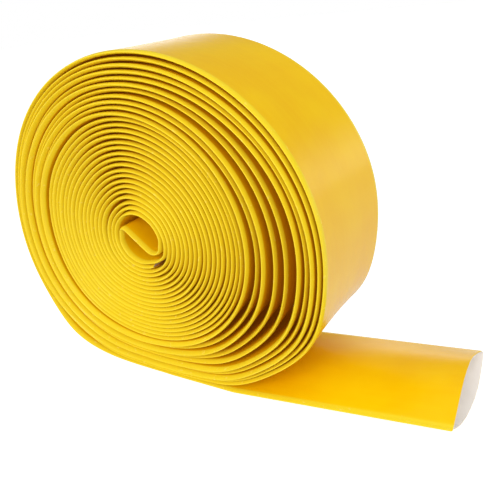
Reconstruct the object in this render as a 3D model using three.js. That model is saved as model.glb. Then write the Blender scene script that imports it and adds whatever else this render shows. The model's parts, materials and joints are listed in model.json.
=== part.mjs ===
// A lay-flat fire hose rolled up from one end into a loose coil, standing on the floor with its
// outer end running out flat and ending in an open mouth.
//
// Frame, in millimetres: the origin is on the floor below the coil, in the middle of the hose's
// width. +X runs along the tail to the mouth, +Y along the coil's axis, +Z up.
//
// The hose is one long tube of three bonded layers: an outer cover, a woven jacket and a lining.
// Where the hose flexes, the tube is divided into short rigid lengths joined by hinges.

import * as THREE from 'three';

// ---------------------------------------------------------------- driving dimensions

const FLAT_WIDTH = 105; // lay-flat width of a hose with a 65 mm bore
const WALL = 1.4; // one wall of the tube, all three layers
const STRIP = 2 * WALL; // the tube pressed flat
const COVER_THICKNESS = 0.5;
const JACKET_THICKNESS = 0.45;
const BOND_GAP = 0.05; // keeps the bonded layers apart as solids
const BORE_INSET = WALL - 0.07; // the lining's inner face, measured in from the outside
const SECTION_GAP = 0.3; // between two neighbouring rigid lengths

const COIL_CENTRE = { x: -12, z: 131 }; // every turn is measured along rays from here

// Rings that the winding follows. Each is an ellipse, and a sag pushes it outwards by `rise` in
// the direction `angle`, fading over `spread` degrees to each side.
const OUTLINE = {
  x: 1.7,
  z: 130.2,
  a: 148.7,
  b: 139.3,
  sags: [{ angle: 56, rise: 12.9, spread: 34 }, { angle: 296, rise: 4.9, spread: 14 }],
};
const CORE = {
  x: -12.8,
  z: 130,
  a: 98.7,
  b: 96.4,
  sags: [{ angle: 50, rise: 6.5, spread: 34 }, { angle: 135, rise: -2.5, spread: 25 }],
};
const EYE = { x: -11.2, z: 125.7, a: 19.1, b: 18.5, sags: [] };

const OUTER_TURNS = 10.5; // turns between the outline and the core
const SLACK_TURN = 4.7; // the turn inside which the widest gap lies
const SLACK_SHARE = 0.15; // share of the outer zone's depth that this gap moves
const SLACK_ANGLE = 272; // direction of the gap, in degrees from straight down
const SLACK_SPREAD = 1.4; // higher is narrower
const SLACK_FALL = 3.5; // higher closes the gaps sooner further in
const CORE_TURNS = 18.83; // turns between the core's edge and the eye
const LAST_TURN = 28; // whole turns before the fold into the eye
const FOLD_ANGLE = 75; // direction in which the winding reaches that fold
const STEP_TURN = 27.92; // turn number where the winding steps in past the inner end
const STEP_LENGTH = 0.06; // length of that step, in turns
const INNER_END_FROM = 285; // direction in which the inner end meets the wall of the eye
const INNER_END_TO = -15; // and in which it stops

const RAY_STEP = 15; // degrees between stations on the outermost turn
const CORE_RAY_STEP = 30; // degrees between stations on all the others
const FIRST_RAY = 15; // the outermost turn leaves the floor on this ray

const FOLD = { x: -15, z: 6, r: 2.6 }; // sharp fold, from the eye's centre, turning clockwise
const TURNBACK = { x: 12, z: -3.2, r: 7.6 }; // round turn-back on the other side of the eye
const FOLD_START_HEADING = 80; // degrees above +X
const TURNBACK_END_HEADING = 75;
const FOLD_STEPS = 4;

const WRAP_COUNT = 5; // rigid lengths of the outermost turn that peel off
const TAIL_START = 56; // x where the tail first lifts
const TAIL_HINGES = [TAIL_START, 100, 145];
const MOUTH_X = 230;
const OPEN_FROM = 60; // x where the tail begins to open
const MOUTH_WIDTH = 97.2; // the tube narrows as it opens
const FOLD_LIFT = 16.1; // height of the folds at the mouth above the sagging lower wall
const TOP_LIFT = 15.1; // height of the upper wall above the folds
const BULGE_POWER = 2.2; // how the walls bulge between the folds: higher is flatter in the middle
const ACROSS = [-1, -0.82, -0.45, 0, 0.45, 0.82, 1]; // corners of each wall, from fold to fold

// ---------------------------------------------------------------- the winding

const rad = THREE.MathUtils.degToRad;

// Distance from COIL_CENTRE to an ellipse, along the ray at `angle` from straight down, measured
// clockwise as seen from -Y. `inset` shrinks the ellipse.
function rayToEllipse(ellipse, angle, inset) {
  const dirX = -Math.sin(angle);
  const dirZ = -Math.cos(angle);
  const a = ellipse.a - inset;
  const b = ellipse.b - inset;
  const offX = COIL_CENTRE.x - ellipse.x;
  const offZ = COIL_CENTRE.z - ellipse.z;
  const qa = (dirX / a) ** 2 + (dirZ / b) ** 2;
  const qb = (offX * dirX) / a ** 2 + (offZ * dirZ) / b ** 2;
  const qc = (offX / a) ** 2 + (offZ / b) ** 2 - 1;
  return (-qb + Math.sqrt(qb * qb - qa * qc)) / qa;
}

// Distance from COIL_CENTRE to a ring, sags included.
function ringRadius(ring, angle, inset) {
  return ring.sags.reduce((radius, sag) => {
    const turned = THREE.MathUtils.radToDeg(angle) - sag.angle;
    const aside = THREE.MathUtils.euclideanModulo(turned + 180, 360) - 180;
    return radius + sag.rise * Math.exp(-((aside / sag.spread) ** 2));
  }, rayToEllipse(ring, angle, inset));
}

// Middle of the outermost turn: the outline, flattened where it stands on the floor.
function outermostRadius(angle) {
  const free = ringRadius(OUTLINE, angle, WALL);
  const floor = (COIL_CENTRE.z - WALL) / Math.max(Math.cos(angle), 0.1);
  return Math.min(free, floor);
}

// How far the winding has come from the outline (0) to the core (1) after `turn` turns. The turns
// around SLACK_TURN lie loose on one side, which leaves the wide gaps there.
function outerShare(turn, angle) {
  const rise = turn / SLACK_TURN;
  const fall = ((OUTER_TURNS - turn) / (OUTER_TURNS - SLACK_TURN)) ** SLACK_FALL;
  const lobe = Math.max(0, Math.cos(angle - rad(SLACK_ANGLE))) ** SLACK_SPREAD;
  return turn / OUTER_TURNS - SLACK_SHARE * lobe * Math.min(rise, fall);
}

// Radius in the evenly wound core, `depth` turns in from its edge.
function coreRadius(depth, angle) {
  const edge = ringRadius(CORE, angle, WALL);
  const eye = ringRadius(EYE, angle, 0);
  return THREE.MathUtils.lerp(edge, eye, depth / CORE_TURNS);
}

function pointOnRay(radius, angle) {
  return new THREE.Vector2(
    COIL_CENTRE.x - radius * Math.sin(angle),
    COIL_CENTRE.z - radius * Math.cos(angle),
  );
}

// The middle of the flattened hose, `turn` turns in from the floor.
function windingPoint(turn) {
  const angle = 2 * Math.PI * turn;
  if (turn < OUTER_TURNS) {
    const core = ringRadius(CORE, angle, WALL);
    const share = outerShare(turn, angle);
    return pointOnRay(THREE.MathUtils.lerp(outermostRadius(angle), core, share), angle);
  }
  const step = THREE.MathUtils.clamp((turn - STEP_TURN) / STEP_LENGTH + 0.5, 0, 1);
  return pointOnRay(coreRadius(turn - OUTER_TURNS + step, angle), angle);
}

// The inner end of the hose runs back out between the first and second turns of the core.
function innerEndPoint(degrees) {
  const depth = LAST_TURN + degrees / 360 - OUTER_TURNS;
  return pointOnRay(coreRadius(depth, rad(degrees)), rad(degrees));
}

// A point on a fold's arc when the path is heading in the direction `heading`. `side` is +1 for
// an arc that turns clockwise and -1 for one that turns the other way.
function arcPoint(fold, heading, side) {
  return new THREE.Vector2(
    EYE.x + fold.x - side * fold.r * Math.sin(heading),
    EYE.z + fold.z + side * fold.r * Math.cos(heading),
  );
}

// The fold in the eye: round the sharp fold, straight across, and round the turn-back.
function eyePath() {
  const dx = TURNBACK.x - FOLD.x;
  const dz = TURNBACK.z - FOLD.z;
  const across = Math.atan2(dz, dx) - Math.asin((FOLD.r + TURNBACK.r) / Math.hypot(dx, dz));
  const points = [];
  for (let i = 0; i <= FOLD_STEPS; i += 1) {
    const heading = THREE.MathUtils.lerp(rad(FOLD_START_HEADING), across, i / FOLD_STEPS);
    points.push(arcPoint(FOLD, heading, 1));
  }
  for (let i = 0; i <= FOLD_STEPS; i += 1) {
    const heading = THREE.MathUtils.lerp(across, rad(TURNBACK_END_HEADING), i / FOLD_STEPS);
    points.push(arcPoint(TURNBACK, heading, -1));
  }
  return points;
}

// ---------------------------------------------------------------- lofting flattened tubes

// Stations along a path: each has a point, and the normal on which the wall's thickness is laid
// off, lengthened at a bend so that the thickness stays true on both sides of it.
function stationsAlong(points) {
  return points.map((point, i) => {
    const before = points[Math.max(i - 1, 0)];
    const after = points[Math.min(i + 1, points.length - 1)];
    const inDir = point.clone().sub(before).normalize();
    const outDir = after.clone().sub(point).normalize();
    const dirIn = i === 0 ? outDir : inDir;
    const dirOut = i === points.length - 1 ? inDir : outDir;
    const along = dirIn.clone().add(dirOut).normalize();
    const stretch = 1 / Math.max(along.dot(dirOut), 0.5);
    const normal = new THREE.Vector2(-along.y, along.x).multiplyScalar(stretch);
    return { point, normal, dirIn, dirOut };
  });
}

// Moves a station's point along the path, to leave a gap to the next rigid length.
function trimmed(station, direction, distance) {
  const point = station.point.clone().addScaledVector(direction, distance);
  return { ...station, point };
}

// Outline of the flattened tube at a station, `inset` in from its outer face.
function flatLoop(station, inset) {
  const halfWidth = FLAT_WIDTH / 2 - inset;
  const half = WALL - inset;
  const corners = [[-1, -1], [1, -1], [1, 1], [-1, 1]];
  return corners.map(([side, face]) => new THREE.Vector3(
    station.point.x + station.normal.x * face * half,
    side * halfWidth,
    station.point.y + station.normal.y * face * half,
  ));
}

// How far the tail has opened at x: 0 is flat and 1 is the mouth.
function opened(x) {
  return THREE.MathUtils.clamp((x - OPEN_FROM) / (MOUTH_X - OPEN_FROM), 0, 1);
}

// Outline of the tail at x: a lens whose lower wall sags to the floor between the folds.
function tailLoop(x, inset) {
  const share = opened(x);
  const halfWidth = THREE.MathUtils.lerp(FLAT_WIDTH, MOUTH_WIDTH, share) / 2;
  const wallPoint = (side, z) => new THREE.Vector3(x, side * (halfWidth - inset), z);
  const floor = ACROSS.map((side) => {
    const sag = FOLD_LIFT * share * Math.abs(side) ** BULGE_POWER;
    return wallPoint(side, sag + inset);
  });
  const top = ACROSS.map((side) => {
    const bulge = TOP_LIFT * share * (1 - Math.abs(side) ** BULGE_POWER);
    return wallPoint(side, STRIP + FOLD_LIFT * share + bulge - inset);
  });
  return [...floor, ...top.reverse()];
}

// Closed tube between two families of loops, or a solid band where there are no inner loops.
function loft(outerLoops, innerLoops) {
  const positions = [];
  const indices = [];
  const sides = outerLoops[0].length;
  const addLoops = (loops) => {
    const first = positions.length / 3;
    loops.forEach((loop) => loop.forEach((p) => positions.push(p.x, p.y, p.z)));
    return first;
  };
  const addSkin = (first, count, facingOut) => {
    for (let i = 0; i + 1 < count; i += 1) {
      for (let k = 0; k < sides; k += 1) {
        const a = first + i * sides + k;
        const b = first + i * sides + ((k + 1) % sides);
        const quad = facingOut ? [a, b, b + sides, a + sides] : [a, a + sides, b + sides, b];
        indices.push(quad[0], quad[1], quad[2], quad[0], quad[2], quad[3]);
      }
    }
  };
  const outerFirst = addLoops(outerLoops);
  const lastLoop = (outerLoops.length - 1) * sides;
  addSkin(outerFirst, outerLoops.length, true);
  if (innerLoops) {
    const innerFirst = addLoops(innerLoops);
    addSkin(innerFirst, innerLoops.length, false);
    for (let k = 0; k < sides; k += 1) {
      const next = (k + 1) % sides;
      const start = [outerFirst + k, innerFirst + k, innerFirst + next, outerFirst + next];
      const end = start.map((index) => index + lastLoop).reverse();
      [start, end].forEach((q) => indices.push(q[0], q[1], q[2], q[0], q[2], q[3]));
    }
  } else {
    for (let k = 1; k + 1 < sides; k += 1) {
      indices.push(outerFirst, outerFirst + k + 1, outerFirst + k);
      indices.push(lastLoop, lastLoop + k, lastLoop + k + 1);
    }
  }
  const geometry = new THREE.BufferGeometry();
  geometry.setAttribute('position', new THREE.Float32BufferAttribute(positions, 3));
  geometry.setIndex(indices);
  geometry.computeVertexNormals();
  return geometry;
}

// ---------------------------------------------------------------- layers and materials

const LAYERS = [
  { name: 'cover', outer: 0, inner: COVER_THICKNESS },
  {
    name: 'jacket',
    outer: COVER_THICKNESS + BOND_GAP,
    inner: COVER_THICKNESS + BOND_GAP + JACKET_THICKNESS,
  },
  {
    name: 'lining',
    outer: COVER_THICKNESS + JACKET_THICKNESS + 2 * BOND_GAP,
    inner: BORE_INSET,
  },
];

const MATERIALS = {
  cover: new THREE.MeshStandardMaterial({ color: 0xf2bd1e, roughness: 0.42, metalness: 0 }),
  jacket: new THREE.MeshStandardMaterial({ color: 0xe8dfc4, roughness: 0.85, metalness: 0 }),
  lining: new THREE.MeshStandardMaterial({ color: 0xe0d6cb, roughness: 0.55, metalness: 0 }),
};

const hose = new THREE.Group();

// Adds one mesh for each layer of a rigid length. `loops(inset)` gives its cross-sections.
function addLength(name, loops, solidLining = false) {
  LAYERS.forEach((layer) => {
    const solid = solidLining && layer.name === 'lining';
    const inner = solid ? null : loops(layer.inner);
    const mesh = new THREE.Mesh(loft(loops(layer.outer), inner), MATERIALS[layer.name]);
    mesh.name = `${name}_${layer.name}`;
    hose.add(mesh);
  });
}

// ---------------------------------------------------------------- the coil and its outer turn

// The winding from the floor inwards, and then through the eye to the inner end.
function coilPath() {
  const points = [pointOnRay(outermostRadius(rad(-FIRST_RAY)), rad(-FIRST_RAY))];
  for (let degrees = FIRST_RAY; degrees < 360; degrees += RAY_STEP) {
    points.push(windingPoint(degrees / 360));
  }
  const foldAt = 360 * LAST_TURN + FOLD_ANGLE;
  for (let degrees = 360 + FIRST_RAY; degrees <= foldAt; degrees += CORE_RAY_STEP) {
    points.push(windingPoint(degrees / 360));
  }
  points.push(...eyePath());
  for (let degrees = INNER_END_FROM; degrees >= INNER_END_TO; degrees -= CORE_RAY_STEP) {
    points.push(innerEndPoint(degrees));
  }
  return points;
}

const stations = stationsAlong(coilPath());

// Cross-sections of the stretch of the coil from one station to another, with a gap at its ends.
function coilLoops(first, last, inset) {
  return stations.slice(first, last + 1).map((station, i) => {
    if (i === 0) {
      return flatLoop(trimmed(station, station.dirOut, SECTION_GAP / 2), inset);
    }
    const isCut = first + i === last && last < stations.length - 1;
    return flatLoop(isCut ? trimmed(station, station.dirIn, -SECTION_GAP / 2) : station, inset);
  });
}

for (let wrap = 1; wrap <= WRAP_COUNT; wrap += 1) {
  addLength(`wrap_${wrap}`, (inset) => coilLoops(wrap, wrap + 1, inset));
}
addLength('coil', (inset) => coilLoops(WRAP_COUNT + 1, stations.length - 1, inset), true);

// ---------------------------------------------------------------- the run along the floor

// Cross-sections of the tail between two x positions.
function tailLoops(from, to, steps, inset) {
  const loops = [];
  for (let i = 0; i <= steps; i += 1) {
    loops.push(tailLoop(THREE.MathUtils.lerp(from, to, i / steps), inset));
  }
  return loops;
}

// The floor run is cut on the slant where the outermost turn leaves the floor.
function floorRunLoops(inset) {
  const loops = tailLoops(stations[1].point.x, TAIL_START - SECTION_GAP / 2, 1, inset);
  const cut = stations[1];
  const slope = cut.normal.x / cut.normal.y;
  loops[0].forEach((p) => {
    p.x = cut.point.x + SECTION_GAP / 2 + slope * (p.z - WALL);
  });
  return loops;
}

addLength('floor_run', floorRunLoops);
TAIL_HINGES.forEach((start, i) => {
  const isMouth = i === TAIL_HINGES.length - 1;
  const end = isMouth ? MOUTH_X : TAIL_HINGES[i + 1] - SECTION_GAP / 2;
  const name = isMouth ? 'mouth' : `tail_${i + 1}`;
  const steps = isMouth ? 3 : 2;
  addLength(name, (inset) => tailLoops(start + SECTION_GAP / 2, end, steps, inset));
});

export default hose;
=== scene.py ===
# A lay-flat fire hose rolled up into a loose coil, with its outer end run out to an open mouth.
# The CAD frame gives the size and the hinges; this script builds the visible surface on them.

import json
import math

import bpy
import numpy as np
from mathutils import Matrix, Vector


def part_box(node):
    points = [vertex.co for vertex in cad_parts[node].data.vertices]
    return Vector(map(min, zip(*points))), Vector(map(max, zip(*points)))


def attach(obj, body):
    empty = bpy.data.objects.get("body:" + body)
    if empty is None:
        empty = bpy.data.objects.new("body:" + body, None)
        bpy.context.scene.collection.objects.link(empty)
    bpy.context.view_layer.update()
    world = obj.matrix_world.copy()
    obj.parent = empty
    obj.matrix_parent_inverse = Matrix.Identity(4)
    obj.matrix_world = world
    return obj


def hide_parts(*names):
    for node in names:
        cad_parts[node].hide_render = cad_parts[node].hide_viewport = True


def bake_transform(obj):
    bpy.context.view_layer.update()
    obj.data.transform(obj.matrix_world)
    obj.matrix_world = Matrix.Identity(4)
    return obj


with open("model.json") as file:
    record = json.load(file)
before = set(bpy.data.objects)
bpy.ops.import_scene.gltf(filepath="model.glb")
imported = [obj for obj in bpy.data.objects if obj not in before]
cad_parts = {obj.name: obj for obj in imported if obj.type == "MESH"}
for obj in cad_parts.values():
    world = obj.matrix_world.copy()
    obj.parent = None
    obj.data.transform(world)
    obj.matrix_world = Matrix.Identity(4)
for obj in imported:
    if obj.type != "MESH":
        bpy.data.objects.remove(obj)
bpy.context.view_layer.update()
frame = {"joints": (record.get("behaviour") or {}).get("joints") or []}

MM = 0.001


def box_mm(node):
    """Lowest and highest corners of a CAD node, in millimetres."""
    low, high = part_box(node)
    return np.array(low) / MM, np.array(high) / MM


# ------------------------------------------------------------------ sizes, in millimetres

COIL_LOW, COIL_HIGH = box_mm("coil_cover")
MOUTH_LOW, MOUTH_HIGH = box_mm("mouth_cover")
JOINTS = {joint["name"]: joint for joint in frame["joints"]}

WIDTH = COIL_HIGH[1] - COIL_LOW[1]
WALL = 1.4
STRIP = 2 * WALL  # the hose pressed flat
FOLD_BULGE = 0.04  # how far each face stands proud beside a fold
FOLD_REACH = 3.4  # a fold narrows to its crease over this width
FOLD_POINTED = 1.6  # 2 is an ellipse, and lower is more pointed
COVER = 0.5
JACKET = 0.45
BOND_GAP = 0.05
BORE_INSET = 1.33  # from the outside to the lining's inner face

# The coil is measured along rays from COIL_CENTRE. An angle is counted in degrees from straight
# down, clockwise as seen from the front (-Y). A turn number counts inwards from the floor.
CENTRE_TO_RIGHT = 159.5
CENTRE_TO_TOP = 135.9
COIL_CENTRE = np.array([COIL_HIGH[0] - CENTRE_TO_RIGHT, COIL_HIGH[2] - CENTRE_TO_TOP])

# Each ring is an ellipse (x and z from COIL_CENTRE, half width, half height) and its sags, each
# pushed outwards by a rise at an angle, fading over a spread: (angle, rise, spread).
OUTLINE = ((13.7, -0.8, 148.7, 139.3), [(57, 11.2, 34), (296, 4.9, 14)])
CORE = ((-0.8, -1.0, 98.7, 96.4), [(50, 6.5, 34), (135, -2.5, 25)])
EYE = ((0.8, -5.3, 19.1, 18.5), [])

OUTER_TURNS = 10.5  # turns between the outline and the core
CORE_TURNS = 18.83
SLACK_TURN = 4.7  # the widest gap lies inside this turn, on one side
SLACK_SHARE = 0.15
SLACK_ANGLE = 276
SLACK_SPREAD = (1.6, 0.8)  # before and after that angle: higher is narrower
SLACK_FALL = (3.5, 1.6)  # at that angle and past it: higher is steeper
SLACK_PAST = 45  # this many degrees past it
LAST_TURN = 28
FLOOR_BEND = 4.0  # higher rounds the bend where the coil settles on the floor
FOLD_ANGLE = 67.5  # where the winding reaches the sharp fold in the eye
STEP_TURN = 27.9  # where it steps in past the inner end
STEP_LENGTH = 0.1
INNER_END_FROM = 277.5
INNER_END_TO = -24
FOLD = (-15.0, 6.0, 2.6)  # x and z from the eye's centre, and the radius of the sharp fold
TURNBACK = (12.0, -3.2, 7.6)
FOLD_HEADING = 80  # direction of travel where the fold begins
TURNBACK_HEADING = 75  # and where the turn-back ends
ARC_POINTS = 12
INNER_END_POINTS = 220

GAP_EDGE = 0.15  # in turns: how sharply a gap's two sides part
# Gaps that opened between two turns: (turn, angle, spread, width, turns over which it fades).
# Each turn number lies on the far side of the coil from its gap.
GAPS = [(25.79, 105, 60, 1.6, 5.0), (3.29, 290, 32, 1.3, 2.0), (10.75, 100, 65, 2.6, 2.0),
        (3.75, 95, 55, 1.1, 0.8), (5.75, 100, 55, 1.0, 0.8)]
# Turns that slid forwards out of the coil: (turn, distance).
PROUD_TURNS = [(3.0, 4.0), (5.1, 4.5), (8.0, 4.5), (10.1, 4.5)]
PROUD_LENGTH = 1.1  # in turns
PROUD_EDGE = 0.2
BOW = 3.5  # the turns are drawn in by this much in the middle of their width
BOW_FROM = 0.4  # turn where that begins
BOW_RISE = 0.8  # turns over which it comes in
BOW_FALL = 8  # turns over which it goes, towards the eye
# Unevenness of the winding as a sum of waves: (height, waves per turn, phase in waves).
WANDER = [(0.09, 0.37, 0.1), (0.07, 1.43, 0.6), (0.05, 3.19, 0.3)]
WANDER_FORWARD = 2.5  # the same waves push the folds forwards by this many times their height
WANDER_SHIFT = 40  # taken this many turns further on
FOOT_TURN = 0.112  # the outermost turn's foot slid forwards here
FOOT_SPREAD = 0.04
FOOT_SLIDE = 5.0
FOOT_START = 0.035  # and not at all where the tail begins

# The tail.
MOUTH_X = MOUTH_HIGH[0]
OPEN_FROM = 60.0  # x where the tail begins to open
MOUTH_NARROWING = 5.0  # the opened mouth is this much narrower than the flat hose
MOUTH_WIDTH = MOUTH_HIGH[1] - MOUTH_LOW[1] - MOUTH_NARROWING
FOLD_LIFT = 16.1  # height of the folds at the mouth above the sagging lower wall
TOP_LIFT = MOUTH_HIGH[2] - FOLD_LIFT - STRIP  # height of the upper wall above the folds
BULGE_POWER = 2.2
FAR_FOLD_ROUND = 2.4  # extra radius of the far fold at the mouth
LIP_LENGTH = 60.0  # the stretch over which the cut end departs from a square cut
LOWER_LIP = (1.7, 0.05)  # how far the lower lip stands out, and how much more per mm of y
UPPER_LIP = (-2.0, -0.035)
FRAY = 0.7  # how far the woven layer stands out of the cut cover


# ------------------------------------------------------------------ the winding

def ray_to_ellipse(ellipse, angle, inset):
    """Distance from COIL_CENTRE along a ray to an ellipse shrunk by `inset`."""
    x, z, a, b = ellipse
    a, b = a - inset, b - inset
    dir_x, dir_z = -np.sin(np.radians(angle)), -np.cos(np.radians(angle))
    qa = (dir_x / a) ** 2 + (dir_z / b) ** 2
    qb = -x * dir_x / a ** 2 - z * dir_z / b ** 2
    qc = (x / a) ** 2 + (z / b) ** 2 - 1
    return (-qb + np.sqrt(qb * qb - qa * qc)) / qa


def lobe(angle, middle, spread):
    """1 at the angle `middle`, fading to both sides of it."""
    aside = (angle - middle + 180) % 360 - 180
    return np.exp(-((aside / spread) ** 2))


def ring_radius(ring, angle, inset=0):
    ellipse, sags = ring
    return ray_to_ellipse(ellipse, angle, inset) + sum(
        rise * lobe(angle, middle, spread) for middle, rise, spread in sags)


def on_ray(radius, angle):
    """Point (x, z) at a distance from COIL_CENTRE along a ray."""
    return np.stack([COIL_CENTRE[0] - radius * np.sin(np.radians(angle)),
                     COIL_CENTRE[1] - radius * np.cos(np.radians(angle))], -1)


def outermost_radius(angle):
    """Middle of the outermost turn, flattened where it stands on the floor.

    The floor is taken to be far away on rays that don't point down at it.
    """
    floor = (COIL_CENTRE[1] - WALL) / np.maximum(np.cos(np.radians(angle)), 0.1)
    free = ring_radius(OUTLINE, angle, WALL)
    return -FLOOR_BEND * np.logaddexp(-free / FLOOR_BEND, -floor / FLOOR_BEND)


def outer_share(turn, angle):
    """How far the winding has come from the outline (0) to the core (1)."""
    rise = turn / SLACK_TURN
    past = (angle - SLACK_ANGLE + 180) % 360 - 180
    fall = ((np.maximum(OUTER_TURNS - turn, 0) / (OUTER_TURNS - SLACK_TURN))
            ** np.interp(past, [0, SLACK_PAST], SLACK_FALL))
    side = (np.maximum(0, np.cos(np.radians(past)))
            ** np.where(past > 0, SLACK_SPREAD[1], SLACK_SPREAD[0]))
    return turn / OUTER_TURNS - SLACK_SHARE * side * np.minimum(rise, fall)


def core_radius(depth, angle):
    """Radius in the evenly wound core, `depth` turns in from its edge."""
    edge = ring_radius(CORE, angle, WALL)
    return edge + (ring_radius(EYE, angle) - edge) * depth / CORE_TURNS


def opened_gaps(turn, angle):
    """How far a turn is pushed outwards, or inwards if negative, by the gaps beside it."""
    push = 0
    for gap_turn, middle, spread, width, fade in GAPS:
        beside = gap_turn - turn
        push = push + (width / 2 * np.tanh(beside / GAP_EDGE) * np.exp(-np.abs(beside) / fade)
                       * lobe(angle, middle, spread))
    return push


def winding(turn):
    """Middle of the pressed-flat hose, `turn` turns in from the floor."""
    angle = 360 * turn
    outer = outermost_radius(angle)
    core = ring_radius(CORE, angle, WALL)
    loose = outer + (core - outer) * outer_share(np.minimum(turn, OUTER_TURNS), angle)
    step = np.clip((turn - STEP_TURN) / STEP_LENGTH + 0.5, 0, 1)
    tight = core_radius(turn - OUTER_TURNS + step, angle)
    radius = np.where(turn < OUTER_TURNS, loose, tight) + opened_gaps(turn, angle)
    return on_ray(radius, angle)


def arc(fold, heading, side):
    """Points on a fold's arc where the path is heading in the given directions."""
    x, z, r = fold
    heading = np.radians(heading)
    centre = COIL_CENTRE + EYE[0][:2] + [x, z]
    return centre + side * r * np.stack([-np.sin(heading), np.cos(heading)], -1)


def eye_path():
    """Round the sharp fold, straight across the eye, and round the turn-back."""
    dx, dz = TURNBACK[0] - FOLD[0], TURNBACK[1] - FOLD[1]
    across = math.degrees(math.atan2(dz, dx)
                          - math.asin((FOLD[2] + TURNBACK[2]) / math.hypot(dx, dz)))
    return np.concatenate([
        arc(FOLD, np.linspace(FOLD_HEADING, across, ARC_POINTS), 1),
        arc(TURNBACK, np.linspace(across, TURNBACK_HEADING, ARC_POINTS), -1)])


def inner_end():
    """The inner end runs back out between the first two turns of the core."""
    angle = np.linspace(INNER_END_FROM, INNER_END_TO, INNER_END_POINTS)
    return on_ray(core_radius(LAST_TURN + angle / 360 - OUTER_TURNS, angle), angle)


def resample(points, spacing):
    """Points at even spacing along a polyline. Columns after x and z are carried along."""
    steps = np.hypot(*np.diff(points[:, :2], axis=0).T)
    lengths = np.concatenate([[0], np.cumsum(steps)])
    at = np.linspace(0, lengths[-1], int(lengths[-1] / spacing) + 1)
    return np.stack([np.interp(at, lengths, column) for column in points.T], -1)


def smooth(points, reach):
    """Rounds off small kinks, leaving both ends where they are."""
    steps = np.arange(-3 * reach, 3 * reach + 1)
    kernel = np.exp(-0.5 * (steps / reach) ** 2)
    kernel /= kernel.sum()
    padded = np.concatenate([2 * points[:1] - points[3 * reach:0:-1], points,
                             2 * points[-1:] - points[-2:-3 * reach - 2:-1]])
    return np.stack([np.convolve(column, kernel, "valid") for column in padded.T], -1)


PATH_STEP = 0.5  # spacing of the stored path
PATH_SMOOTHING = 3  # in path steps
RUN_POINTS = 400
WINDING_POINTS = 40000
COIL_START = 10  # the tail is laid out to this far beyond the coil's centre


def hose_path():
    """The hose's middle line from the mouth to the inner end: x, z and turn number."""
    run_x = np.linspace(MOUTH_X, COIL_CENTRE[0] + COIL_START, RUN_POINTS)
    run = np.stack([run_x, np.full(RUN_POINTS, WALL), np.zeros(RUN_POINTS)], -1)
    turn = np.linspace(0, LAST_TURN + FOLD_ANGLE / 360, WINDING_POINTS)
    coil = np.column_stack([winding(turn), turn])
    rest = np.concatenate([eye_path(), inner_end()])
    end = np.column_stack([rest, np.full(len(rest), turn[-1])])
    return smooth(resample(np.concatenate([run, coil, end]), PATH_STEP), PATH_SMOOTHING)


PATH = hose_path()
PATH_AT = np.arange(len(PATH)) * PATH_STEP
PATH_LENGTH = PATH_AT[-1]
TAIL_LENGTH = MOUTH_X - COIL_CENTRE[0]


def wander(turn):
    """How far the hose strays from its smooth spiral. The outermost turn doesn't."""
    return np.clip(turn - 1, 0, 1) * sum(height * np.sin(math.tau * (rate * turn + phase))
                                         for height, rate, phase in WANDER)


def bowed(turn, across):
    """How far the coil's turns are drawn in between their two folds."""
    share = (np.clip((turn - BOW_FROM) / BOW_RISE, 0, 1)
             * np.clip((LAST_TURN - turn) / BOW_FALL, 0, 1))
    return BOW * share * (1 - (2 * across / WIDTH) ** 2)


def slid_forward(turn):
    """How far the hose stands out of the front of the coil."""
    edge = 0.5 * PROUD_LENGTH
    slid = sum(distance * 0.5 * (np.tanh((turn - middle + edge) / PROUD_EDGE)
                                 - np.tanh((turn - middle - edge) / PROUD_EDGE))
               for middle, distance in PROUD_TURNS)
    foot = (FOOT_SLIDE * np.exp(-((turn - FOOT_TURN) / FOOT_SPREAD) ** 2)
            * np.clip(turn / FOOT_START, 0, 1))
    uneven = WANDER_FORWARD * wander(turn + WANDER_SHIFT) * np.clip(turn - 1, 0, 1)
    return slid + foot + uneven


def path_at(s):
    """Point, direction of travel, outward normal and turn number at distance s from the mouth."""
    point = np.stack([np.interp(s, PATH_AT, PATH[:, i]) for i in (0, 1)], -1)
    ahead = np.stack([np.interp(s + 2 * PATH_STEP, PATH_AT, PATH[:, i]) for i in (0, 1)], -1)
    behind = np.stack([np.interp(s - 2 * PATH_STEP, PATH_AT, PATH[:, i]) for i in (0, 1)], -1)
    along = ahead - behind
    along /= np.linalg.norm(along, axis=1)[:, None]
    outward = np.stack([-along[:, 1], along[:, 0]], -1)
    turn = np.interp(s, PATH_AT, PATH[:, 2])
    return point + outward * wander(turn)[:, None], along, outward, turn


# ------------------------------------------------------------------ cross-sections

# Places across a wall, closer together towards the folds: -1 and 1 are its edges.
HALF_ACROSS = np.array([0.25, 0.5, 0.7, 0.84, 0.92, 0.97, 1])
ACROSS = np.concatenate([-HALF_ACROSS[::-1], [0], HALF_ACROSS])
FOLD_POINTS = 7
FOLD_LOOK_FROM = 0.95  # a wall starts to look like a fold here
PROUD_FROM = 0.88  # a wall starts to stand proud here
FAR_FOLD_FROM = 0.6  # the mouth's far fold starts to thicken here
FOLD_CROWDING = 1.3  # higher moves a fold's points towards its crease

WALL_FOLD_SHARE = np.clip((np.abs(ACROSS) - FOLD_LOOK_FROM) / (1 - FOLD_LOOK_FROM), 0, 1)
FOLD_SHARE = np.concatenate([WALL_FOLD_SHARE, np.ones(FOLD_POINTS)] * 2)  # 1 on a fold
IS_UPPER_WALL = np.repeat([0.0, 1.0, 0.0], [len(ACROSS) + FOLD_POINTS, len(ACROSS), FOLD_POINTS])

SHADE_INSIDE_FROM = 0.3  # turn where the inner face, lying between turns, starts to get painted shade
SHADE_OUTSIDE_FROM = 0.9  # and both faces
SHADE_RISE = 0.1
SHADE_TO = LAST_TURN - 0.1  # and where the open eye ends the painted shade and leaves the hose glossy
SHADE_FALL = 0.6


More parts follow.
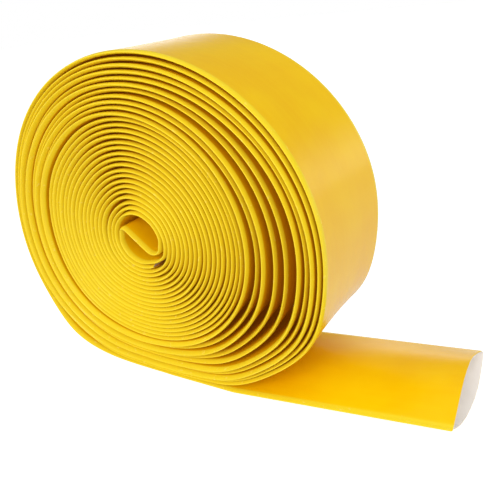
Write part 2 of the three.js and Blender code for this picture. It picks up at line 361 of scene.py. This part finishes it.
def rubbed(turn):
    """1 where a face lies between the coil's turns and gets painted shade and no specular, for
    each point of each outline.
    """
    turn = turn[:, None]
    inner_face = IS_UPPER_WALL * np.clip((turn - SHADE_INSIDE_FROM) / SHADE_RISE, 0, 1)
    both_faces = np.clip((turn - SHADE_OUTSIDE_FROM) / SHADE_RISE, 0, 1)
    outside_eye = np.clip((SHADE_TO - turn) / SHADE_FALL, 0, 1)
    return np.maximum(inner_face, both_faces) * outside_eye


def opened(x):
    """How far the tail has opened at x: 0 is flat and 1 is the mouth."""
    return np.clip((x - OPEN_FROM) / (MOUTH_X - OPEN_FROM), 0, 1)


def cross_section(share, inset):
    """Closed outline of the hose as (across, height): lower wall, far fold, upper, near fold.

    The walls are laid off on both sides of a lens that is a flat line where the hose is shut.
    """
    crease = FOLD_REACH - inset
    half_width = (WIDTH + (MOUTH_WIDTH - WIDTH) * share) / 2 - inset
    across = np.interp(ACROSS, [-1, 1], [crease - half_width, half_width - crease])
    bulge = np.abs(ACROSS) ** BULGE_POWER
    slope = BULGE_POWER * np.abs(ACROSS) ** (BULGE_POWER - 1) * np.sign(ACROSS) / half_width
    beside_fold = np.clip((np.abs(ACROSS) - PROUD_FROM) / (1 - PROUD_FROM), 0, 1)
    beside_far_fold = np.clip((ACROSS - FAR_FOLD_FROM) / (1 - FAR_FOLD_FROM), 0, 1)
    proud = FOLD_BULGE * beside_fold ** 2 + FAR_FOLD_ROUND * share * beside_far_fold ** 2
    thick = WALL - inset + proud
    walls = []
    for height, tilt, side in ((FOLD_LIFT * bulge, FOLD_LIFT * slope, -1),
                               (FOLD_LIFT + TOP_LIFT * (1 - bulge), -TOP_LIFT * slope, 1)):
        lean = np.arctan(tilt * share)
        walls.append(np.stack([across - side * thick * np.sin(lean),
                               WALL + height * share + side * thick * np.cos(lean)], -1))
    lower, upper = walls[0], walls[1][::-1]

    def fold(start, end, side):
        """The nose from one wall's edge round the crease to the other's."""
        along = np.linspace(-1, 1, FOLD_POINTS + 2)[1:-1, None]
        along = np.sign(along) * np.abs(along) ** FOLD_CROWDING
        reach = np.array([side * crease, 0.0]) * (1 - np.abs(along) ** FOLD_POINTED)
        return (start + end) / 2 + reach + (end - start) / 2 * along

    return np.concatenate([lower, fold(lower[-1], upper[0], 1), upper,
                           fold(upper[-1], lower[0], -1)])


def lip_shift(s, outline):
    """How far the mouth's cut end departs from square, fading along the tail."""
    y, z = outline.T
    fade = max(0.0, 1 - s / LIP_LENGTH) ** 2
    upper = np.clip((z - WALL) / (FOLD_LIFT + TOP_LIFT) - 0.5, -0.5, 0.5) + 0.5
    lower_x = LOWER_LIP[0] + LOWER_LIP[1] * y
    upper_x = UPPER_LIP[0] + UPPER_LIP[1] * y
    return fade * (lower_x + (upper_x - lower_x) * upper)


def rings(s, inset):
    """Cross-sections at distances s along the hose, as an array (station, point, xyz) in mm."""
    point, along, outward, turn = path_at(s)
    forward = slid_forward(turn)
    shut = cross_section(0, inset)
    result = []
    for i in range(len(s)):
        share = opened(point[i, 0]) if s[i] < TAIL_LENGTH else 0
        outline = cross_section(share, inset) if share > 0 else shut
        height = outline[:, 1] - WALL + bowed(turn[i], outline[:, 0])
        x = point[i, 0] - outward[i, 0] * height + lip_shift(s[i], outline)
        z = point[i, 1] - outward[i, 1] * height
        result.append(np.stack([x, outline[:, 0] - forward[i], z], -1))
    return np.array(result)


# ------------------------------------------------------------------ meshes

def ring_faces(first, count, sides, outwards):
    """Quads between `count` consecutive rings, whose first vertex is `first`."""
    i, k = np.meshgrid(np.arange(count - 1), np.arange(sides), indexing="ij")
    a = first + i * sides + k
    b = first + i * sides + (k + 1) % sides
    quads = [a, a + sides, b + sides, b] if outwards else [a, b, b + sides, a + sides]
    return np.stack(quads, -1).reshape(-1, 4)


def ring_uvs(s, around, outwards):
    """Along and around coordinates, in metres, for the corners of ring_faces."""
    i, k = np.meshgrid(np.arange(len(s) - 1), np.arange(len(around) - 1), indexing="ij")
    corners = [(i, k), (i + 1, k), (i + 1, k + 1), (i, k + 1)]
    if not outwards:
        corners = [corners[0], corners[3], corners[2], corners[1]]
    uv = [np.stack([s[along], around[across]], -1) for along, across in corners]
    return np.stack(uv, 2).reshape(-1, 2) * MM


def tube(name, s_outer, s_inner, inset_outer, inset_inner):
    """A closed tube of one layer along a stretch of the hose, solid where s_inner is None."""
    outer = rings(s_outer, inset_outer)
    sides = outer.shape[1]
    outline = cross_section(0, 0)
    around = np.concatenate([[0], np.cumsum(np.linalg.norm(
        np.roll(outline, -1, axis=0) - outline, axis=1))])
    verts = [outer.reshape(-1, 3)]
    faces = [ring_faces(0, len(s_outer), sides, True)]
    uvs = [ring_uvs(s_outer, around, True)]
    k = np.arange(sides)
    k_next = (k + 1) % sides
    outer_end = (len(s_outer) - 1) * sides
    if s_inner is not None:
        inner = rings(s_inner, inset_inner)
        first = len(s_outer) * sides
        inner_end_ring = first + (len(s_inner) - 1) * sides
        verts.append(inner.reshape(-1, 3))
        faces.append(ring_faces(first, len(s_inner), sides, False))
        uvs.append(ring_uvs(s_inner, around, False))
        start = np.stack([k, k_next, first + k_next, first + k], -1)
        end = np.stack([outer_end + k, inner_end_ring + k, inner_end_ring + k_next,
                        outer_end + k_next], -1)
    else:
        # Floor points run 0..m-1 and the ceiling's come back over them.
        m = len(ACROSS)
        low = np.arange(m - 1)
        high = 2 * m + FOLD_POINTS - 1 - np.arange(m)
        start = np.stack([low, low + 1, high[low + 1], high[low]], -1)
        end = outer_end + start[:, ::-1]
    smooth_count = sum(len(f) for f in faces)
    faces += [start, end]
    uvs.append(np.zeros((4 * (len(start) + len(end)), 2)))
    verts = np.concatenate(verts)
    stations = s_outer if s_inner is None else np.concatenate([s_outer, s_inner])
    looks = {"fold": np.tile(FOLD_SHARE, len(stations)),
             "rubbed": rubbed(path_at(stations)[3]).ravel()}
    return quad_object(name, verts, np.concatenate(faces), np.concatenate(uvs), looks,
                       smooth_count)


def quad_object(name, verts, faces, uvs, looks, smooth_count):
    """A mesh of quads, of which the first `smooth_count` are smooth and the rest are flat caps."""
    mesh = bpy.data.meshes.new(name)
    mesh.vertices.add(len(verts))
    mesh.vertices.foreach_set("co", (verts * MM).astype(np.float32).ravel())
    mesh.loops.add(faces.size)
    mesh.loops.foreach_set("vertex_index", faces.astype(np.int32).ravel())
    mesh.polygons.add(len(faces))
    mesh.polygons.foreach_set("loop_start", np.arange(0, faces.size, 4, dtype=np.int32))
    mesh.update(calc_edges=True)
    mesh.polygons.foreach_set("use_smooth", np.arange(len(faces)) < smooth_count)
    ends = np.zeros(len(verts), bool)
    ends[faces[smooth_count:].ravel()] = True
    edges = np.zeros(2 * len(mesh.edges), np.int32)
    mesh.edges.foreach_get("vertices", edges)
    mesh.edges.foreach_set("use_edge_sharp", ends[edges.reshape(-1, 2)].all(axis=1))
    for look, values in looks.items():
        attribute = mesh.attributes.new(look, "FLOAT", "POINT")
        attribute.data.foreach_set("value", values.astype(np.float32))
    layer = mesh.uv_layers.new(name="hose")
    layer.data.foreach_set("uv", uvs.astype(np.float32).ravel())
    mesh.update()
    piece = bpy.data.objects.new(name, mesh)
    bpy.context.scene.collection.objects.link(piece)
    return piece


# ------------------------------------------------------------------ materials

class Tree:
    """Adds and links the nodes of one shader."""

    def __init__(self, name):
        self.material = bpy.data.materials.new(name)
        self.material.use_nodes = True
        self.tree = self.material.node_tree
        self.shader = self.tree.nodes["Principled BSDF"]

    def add(self, kind, settings=None, **inputs):
        node = self.tree.nodes.new("ShaderNode" + kind)
        for name, value in (settings or {}).items():
            setattr(node, name, value)
        for name, value in inputs.items():
            self.set(node, name.replace("_", " "), value)
        return node

    def set(self, node, name, value):
        socket = node.inputs[int(name)] if name.isdigit() else node.inputs[name]
        if isinstance(value, bpy.types.NodeSocket):
            self.tree.links.new(value, socket)
        else:
            socket.default_value = value

    def math(self, operation, a, b=0.0):
        return self.add("Math", {"operation": operation}, **{"0": a, "1": b}).outputs[0]

    def ramp(self, value, low, high, start=0.0, end=1.0):
        """Maps a value smoothly from one range to another."""
        node = self.add("MapRange", {"interpolation_type": "SMOOTHSTEP"}, Value=value,
                        From_Min=low, From_Max=high, To_Min=start, To_Max=end)
        return node.outputs["Result"]

    def noise(self, place, scale, detail=2.0, roughness=0.5):
        node = self.add("TexNoise", Vector=place, Scale=scale, Detail=detail, Roughness=roughness)
        return node.outputs["Fac"]

    def mix(self, share, a, b, blend_type="MIX"):
        node = self.add("Mix", {"data_type": "RGBA", "blend_type": blend_type})
        for index, value in ((0, share), (6, a), (7, b)):
            self.set(node, str(index), value)
        return node.outputs[2]

    def along_hose(self, stretch=(1.0, 1.0, 1.0)):
        """Position on the hose in metres, along and around it, stretched."""
        place = self.add("UVMap", {"uv_map": "hose"}).outputs["UV"]
        return self.add("Mapping", Vector=place, Scale=stretch).outputs["Vector"]

    def weave(self, pitch_along, pitch_around):
        """Over-and-under pattern of crossing yarns, 0 to 1."""
        split = self.add("SeparateXYZ", Vector=self.along_hose())
        waves = []
        for axis, pitch in (("X", pitch_along), ("Y", pitch_around)):
            phase = self.math("MULTIPLY", split.outputs[axis], math.tau / (pitch * MM))
            waves.append(self.math("SINE", phase))
        return self.ramp(self.math("MULTIPLY", *waves), -1.0, 1.0)

    def bump(self, height, strength, distance_mm, under=None):
        inputs = {"Height": height, "Strength": strength, "Distance": distance_mm * MM}
        if under is not None:
            inputs["Normal"] = under
        return self.add("Bump", **inputs).outputs["Normal"]

    def finish(self, **inputs):
        for name, value in inputs.items():
            self.set(self.shader, name.replace("_", " "), value)
        return self.material


def cover_material():
    """Smooth yellow cover, paler on the folds (partly stretched cover, partly a painted
    highlight), with painted shade and a faint painted glow between the turns, and the weave behind
    it faintly showing.
    """
    t = Tree("yellow_cover")
    on_fold = t.ramp(t.add("Attribute", {"attribute_name": "fold"}).outputs["Fac"], 0.2, 0.9)
    # Painted shade: faces between the coil's turns get a darker orange, more painted glow and no
    # specular, except on the folds.
    painted_shade = t.math("MULTIPLY", t.add("Attribute", {"attribute_name": "rubbed"}).outputs["Fac"],
                  t.math("SUBTRACT", 1.0, on_fold))
    patches = t.noise(t.along_hose(), 17.0, 3.0, 0.55)
    streaks = t.noise(t.along_hose((9.0, 240.0, 1.0)), 1.0, 3.0, 0.6)
    scuffs = t.noise(t.along_hose((1.0, 1.6, 1.0)), 160.0, 4.0, 0.7)
    yellow = t.mix(t.ramp(patches, 0.3, 0.72), (0.86, 0.49, 0.0, 1), (0.90, 0.56, 0.001, 1))
    yellow = t.mix(t.ramp(streaks, 0.35, 0.8, 0.0, 0.28), yellow, (0.90, 0.58, 0.004, 1))
    # painted shade: darker orange between the turns
    yellow = t.mix(t.math("MULTIPLY", painted_shade, 0.75), yellow, (0.61, 0.28, 0.0, 1))
    # Paler on the folds: partly stretched cover, partly a painted highlight where the folds face
    # the light.
    yellow = t.mix(t.math("MULTIPLY", on_fold, 0.8), yellow, (0.83, 0.66, 0.025, 1))
    # Scuffs on the folds, rougher, carrying a painted pale cream highlight.
    scuffs_and_highlight = t.math("MULTIPLY", on_fold, t.ramp(scuffs, 0.6, 0.74))
    yellow = t.mix(t.math("MULTIPLY", scuffs_and_highlight, 0.3), yellow, (0.98, 0.84, 0.36, 1))
    relief = t.bump(t.weave(1.7, 1.5), 0.16, 0.03)
    relief = t.bump(patches, 0.8, 0.5, relief)
    relief = t.bump(scuffs, 0.2, 0.02, relief)
    gloss = t.math("ADD", t.ramp(scuffs, 0.35, 0.7, 0.17, 0.27), t.math("MULTIPLY", scuffs_and_highlight, 0.3))
    # A faint painted orange glow (emission), stronger between the turns, stands in for light come
    # through the hose's own walls and keeps the deepest gaps from going black.
    glow = t.ramp(painted_shade, 0.0, 1.0, 0.01, 0.03)
    sheen = t.ramp(painted_shade, 0.0, 1.0, 0.22, 0.0)
    return t.finish(Base_Color=yellow, Roughness=gloss, Normal=relief, Specular_IOR_Level=sheen,
                    Emission_Color=(1.0, 0.4, 0.0, 1), Emission_Strength=glow)


def jacket_material():
    """Undyed woven yarn, seen only in the cut ends."""
    t = Tree("woven_jacket")
    yarn = t.weave(1.7, 1.5)
    fibres = t.noise(t.along_hose((1.0, 3.0, 1.0)), 900.0, 3.0, 0.6)
    cream = t.mix(yarn, (0.58, 0.50, 0.34, 1), (0.86, 0.79, 0.60, 1))
    cream = t.mix(t.ramp(fibres, 0.3, 0.8, 0.0, 0.4), cream, (0.93, 0.89, 0.76, 1))
    relief = t.bump(fibres, 0.3, 0.05, t.bump(yarn, 0.8, 0.2))
    return t.finish(Base_Color=cream, Roughness=0.88, Normal=relief)


def lining_material():
    """Pale smooth lining, ribbed by the yarns behind it."""
    t = Tree("pale_lining")
    patches = t.noise(t.along_hose(), 35.0, 3.0, 0.5)
    grey = t.mix(t.ramp(patches, 0.3, 0.75), (0.91, 0.85, 0.78, 1), (0.96, 0.91, 0.85, 1))
    yarn = t.weave(1.7, 1.5)
    grey = t.mix(t.math("MULTIPLY", yarn, 0.18), grey, (0.98, 0.94, 0.89, 1))
    relief = t.bump(patches, 0.3, 0.2, t.bump(yarn, 0.35, 0.06))
    # A faint painted glow (emission) lightens the lining.
    return t.finish(Base_Color=grey, Roughness=0.46, Normal=relief,
                    Emission_Color=(1.0, 0.95, 0.88, 1), Emission_Strength=0.03)


MATERIALS = {"cover": cover_material(), "jacket": jacket_material(), "lining": lining_material()}

# ------------------------------------------------------------------ pieces on the CAD bodies

LAYERS = {
    "cover": (0, COVER),
    "jacket": (COVER + BOND_GAP, COVER + BOND_GAP + JACKET),
    "lining": (COVER + JACKET + 2 * BOND_GAP, BORE_INSET),
}
WRAPS = [f"wrap_{i}" for i in range(1, 6)]
CHAIN = ["mouth", "tail_2", "tail_1", "floor_run"] + WRAPS + ["coil"]
FIRST_RAY = 15  # the first wrap starts here
RAY_STEP = 15  # and each is this many degrees long


def s_at_ray(degrees):
    """Distance from the mouth to the place where the outermost turn crosses a ray."""
    return float(np.interp(degrees / 360, PATH[:, 2], PATH_AT))


def cuts():
    """Where one piece ends and the next begins: in the middle of each rigid length.

    The last one lies half a step into the coil.
    """
    tail_1, tail_2, mouth = (JOINTS[f"tail_lift_{i}"]["pos_m"][0] / MM for i in (1, 2, 3))
    floor_end = JOINTS["unroll_1"]["pos_m"][0] / MM
    hinges = [MOUTH_X, mouth, tail_2, tail_1, floor_end]
    xs = [(a + b) / 2 for a, b in zip(hinges[:-1], hinges[1:])]
    rays = [FIRST_RAY + RAY_STEP * (i + 0.5) for i in range(len(WRAPS) + 1)]
    return [MOUTH_X - x for x in xs] + [s_at_ray(ray) for ray in rays]


def as_vector(s):
    point = path_at(np.array([s]))[0][0]
    return Vector((point[0] * MM, 0, point[1] * MM))


CUTS = cuts()
TAIL_SPACING = 2.0  # spacing of cross-sections at the mouth
FINE = 1.25  # and where the hose bends at a hinge
FINEST = 0.8  # and at least this in the coil
FINE_SHARE = 0.034  # where it is this share of the turn's radius for the cover's outside
COARSE_SHARE = 0.12  # and this share for the layers inside
INNER_HEM = 3.0  # how far the cover overhangs the other layers at the inner end
BLEND_MARGIN = 1.0  # points this far inside both ends of a middle piece are worked out, and not used


def coil_spacing(start, end, spacing_per_radius):
    """Distances along the coil whose spacing shrinks with the turn's radius."""
    at = [start]
    while at[-1] < end:
        point = PATH[min(int(at[-1] / PATH_STEP), len(PATH) - 1)]
        radius = np.hypot(*(point[:2] - COIL_CENTRE - EYE[0][:2]))
        at.append(at[-1] + max(FINEST, spacing_per_radius * radius))
    at[-1] = end
    return np.array(at)


def even(start, end, spacing):
    return np.linspace(start, end, max(2, int(abs(end - start) / spacing) + 1))


def add_layers(stem, stations, coarse, nodes):
    """The three layers of one stretch. `nodes` are the CAD lengths it stands for."""
    pieces = []
    for layer, (outer, inner) in LAYERS.items():
        solid = layer == "lining" and stem == "coil"
        s_outer = stations if layer == "cover" else coarse
        piece = tube(f"{stem}_{layer}_skin", s_outer, None if solid else coarse, outer, inner)
        piece.data.materials.append(MATERIALS[layer])
        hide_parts(*[f"{node}_{layer}" for node in nodes])
        pieces.append(piece)
    return pieces


def build_hose():
    stations = even(0, CUTS[0], TAIL_SPACING)
    behind_cut = np.maximum(stations, FRAY)
    for piece in add_layers("mouth", behind_cut, stations, ["mouth"]):
        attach(piece, "mouth")
    for i, (start, end) in enumerate(zip(CUTS[:-1], CUTS[1:])):
        body_a, body_b = CHAIN[i], CHAIN[i + 1]
        stations = even(start, end, FINE)
        for piece in add_layers(f"{body_a}_to_{body_b}", stations, stations, [body_b]):
            as_vector(start + BLEND_MARGIN)
            as_vector(end - BLEND_MARGIN)
            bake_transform(piece)
    fine = coil_spacing(CUTS[-1], PATH_LENGTH, FINE_SHARE)
    coarse = coil_spacing(CUTS[-1], PATH_LENGTH - INNER_HEM, COARSE_SHARE)
    for piece in add_layers("coil", fine, coarse, ["coil"]):
        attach(piece, "coil")


build_hose()

# ------------------------------------------------------------------ floor, light and camera

def build_stage():
    mesh = bpy.data.meshes.new("floor")
    size = 6.0
    corners = [(-size, -size, 0), (size, -size, 0), (size, size, 0), (-size, size, 0)]
    mesh.from_pydata([(x, y, -0.0005) for x, y, z in corners], [], [(0, 1, 2, 3)])
    floor = bpy.data.objects.new("floor", mesh)
    bpy.context.scene.collection.objects.link(floor)
    t = Tree("pale_floor")
    seen = t.add("LightPath").outputs["Is Camera Ray"]
    glow = t.ramp(seen, 0.0, 1.0, 0.5, 0.88)
    mesh.materials.append(t.finish(Base_Color=(0.4, 0.4, 0.4, 1), Roughness=0.8,
                                   Emission_Color=(1, 1, 1, 1), Emission_Strength=glow))


def area_light(name, place, target, size, power):
    data = bpy.data.lights.new(name, "AREA")
    data.size = size
    data.energy = power
    lamp = bpy.data.objects.new(name, data)
    lamp.location = place
    direction = Vector(target) - Vector(place)
    lamp.rotation_euler = direction.to_track_quat("-Z", "Y").to_euler()
    bpy.context.scene.collection.objects.link(lamp)


def build_light():
    """A bright low horizon under a dimmer ceiling, and two soft lamps above the camera."""
    world = bpy.data.worlds.new("studio")
    world.use_nodes = True
    tree = world.node_tree
    direction = tree.nodes.new("ShaderNodeTexCoord")
    split = tree.nodes.new("ShaderNodeSeparateXYZ")
    tree.links.new(direction.outputs["Generated"], split.inputs[0])
    fade = tree.nodes.new("ShaderNodeMapRange")
    fade.interpolation_type = "SMOOTHSTEP"
    for name, value in (("From Min", 0.05), ("From Max", 0.35), ("To Min", 1.5), ("To Max", 0.15)):
        fade.inputs[name].default_value = value
    tree.links.new(split.outputs["Z"], fade.inputs["Value"])
    seen = tree.nodes.new("ShaderNodeLightPath")
    source = fade.outputs["Result"]
    for ray, value in (("Is Diffuse Ray", 0.80), ("Is Camera Ray", 1.0)):
        choose = tree.nodes.new("ShaderNodeMix")
        choose.inputs[3].default_value = value
        tree.links.new(seen.outputs[ray], choose.inputs[0])
        tree.links.new(source, choose.inputs[2])
        source = choose.outputs[0]
    tree.links.new(source, tree.nodes["Background"].inputs["Strength"])
    tree.nodes["Background"].inputs["Color"].default_value = (1, 1, 1, 1)
    bpy.context.scene.world = world
    area_light("key", (0.1, -1.9, 1.2), (0, 0, 0.12), 1.0, 21)
    area_light("side", (1.7, -0.7, 1.3), (0, 0, 0.12), 1.0, 4)
    bpy.context.scene.view_settings.view_transform = "Standard"


def build_camera():
    azimuth, elevation, roll = (math.radians(v) for v in (33.1, 23.4, -6.6))
    place = Vector((294.1, -363.2, 291.7)) * MM
    focal_share = 1.1726  # focal length over picture width
    forward = Vector((-math.sin(azimuth) * math.cos(elevation),
                      math.cos(azimuth) * math.cos(elevation), -math.sin(elevation)))
    right = forward.cross(Vector((0, 0, 1))).normalized()
    up = right.cross(forward)
    c, s = math.cos(roll), math.sin(roll)
    right, up = c * right + s * up, c * up - s * right
    data = bpy.data.cameras.new("camera")
    data.sensor_width = 36
    data.lens = focal_share * data.sensor_width
    data.clip_start = 0.01
    camera = bpy.data.objects.new("camera", data)
    camera.matrix_world = Matrix((
        (right.x, up.x, -forward.x, place.x),
        (right.y, up.y, -forward.y, place.y),
        (right.z, up.z, -forward.z, place.z),
        (0, 0, 0, 1)))
    bpy.context.scene.collection.objects.link(camera)
    bpy.context.scene.camera = camera


build_stage()
build_light()
build_camera()

bpy.context.view_layer.update()
